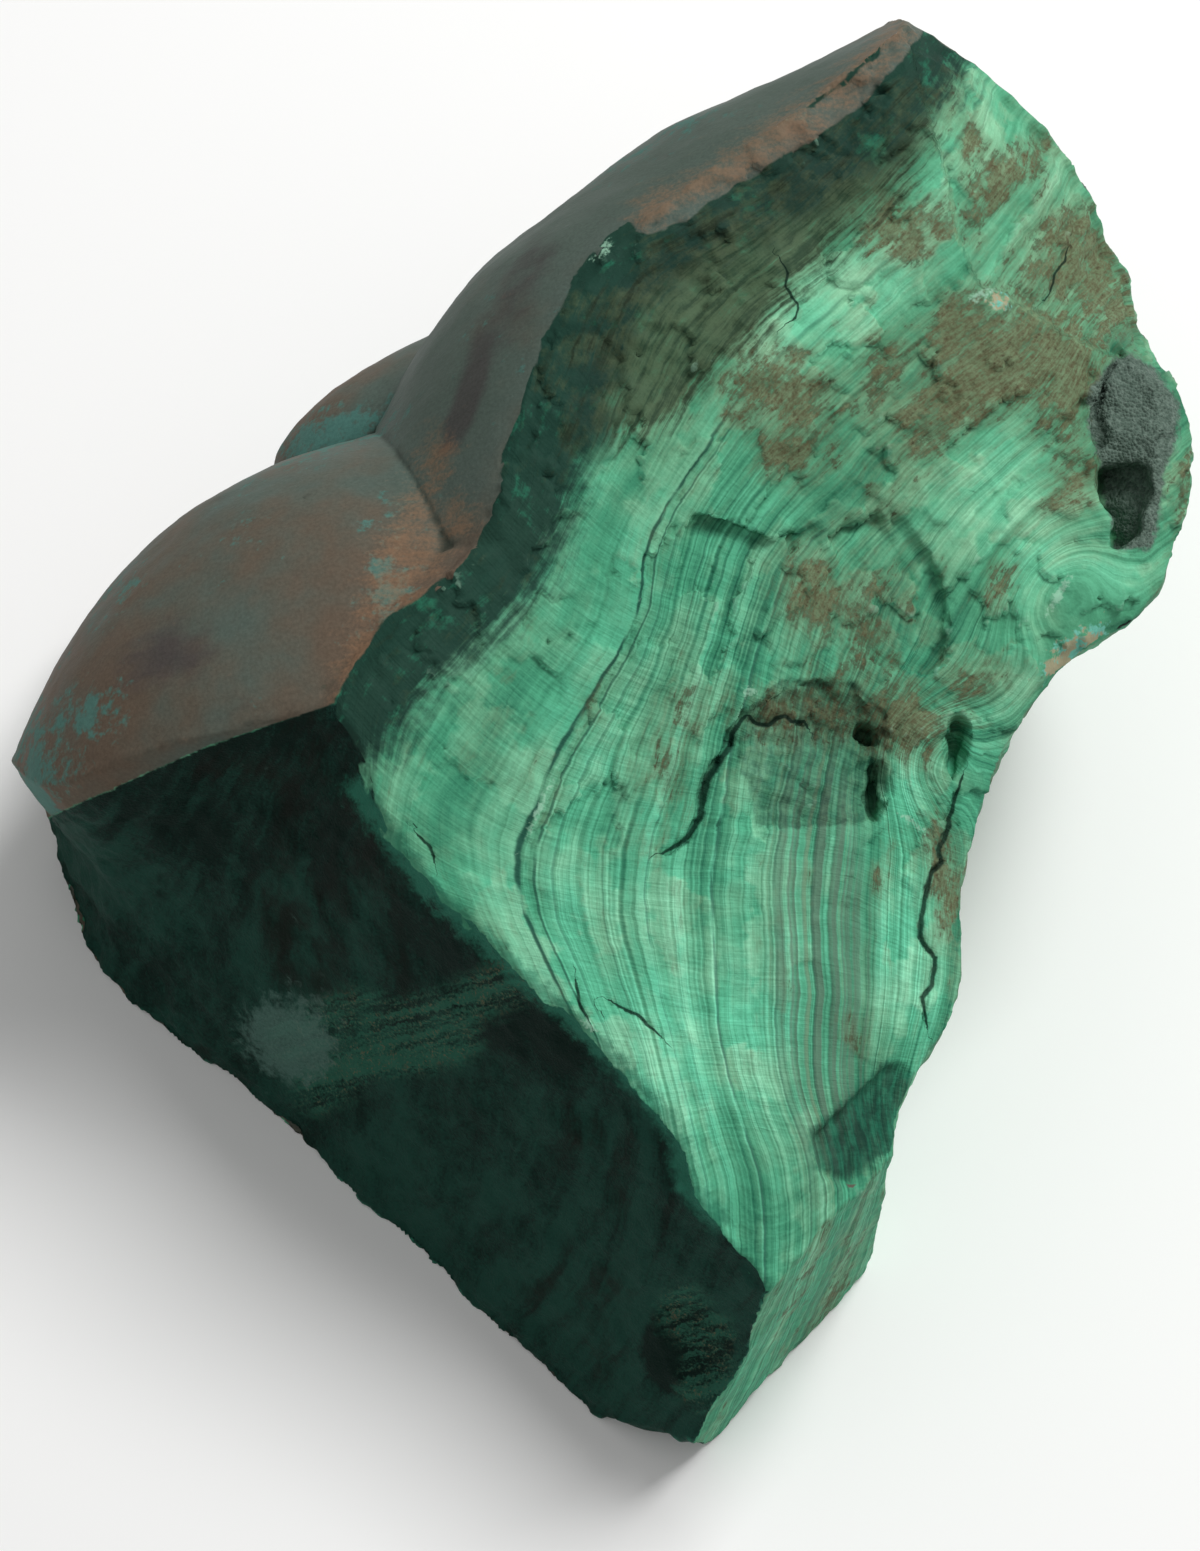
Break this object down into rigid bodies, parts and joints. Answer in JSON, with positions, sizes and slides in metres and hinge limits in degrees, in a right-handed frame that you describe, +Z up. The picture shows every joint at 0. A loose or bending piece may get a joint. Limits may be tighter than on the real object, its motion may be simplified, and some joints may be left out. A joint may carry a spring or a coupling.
{
  "type": "raw malachite",
  "caption": "Raw malachite chunk: a bright banded broken face, a dark broken side and a rounded weathered rind, resting on a flat base.",
  "frame": {"origin": "centre of the bounding box, on the resting face", "axes": "+Z up from the base, -Y towards the viewer of the banded face, +X to the viewer's right"},
  "size_m": [0.1203, 0.1518, 0.0689],
  "materials": {
    "malachite": "rough broken faces banded in light and dark green, silky across the bands, with a dull brown and teal rind"
  },
  "bodies": {
    "root": {"malachite": "malachite"}
  },
  "joints": []
}
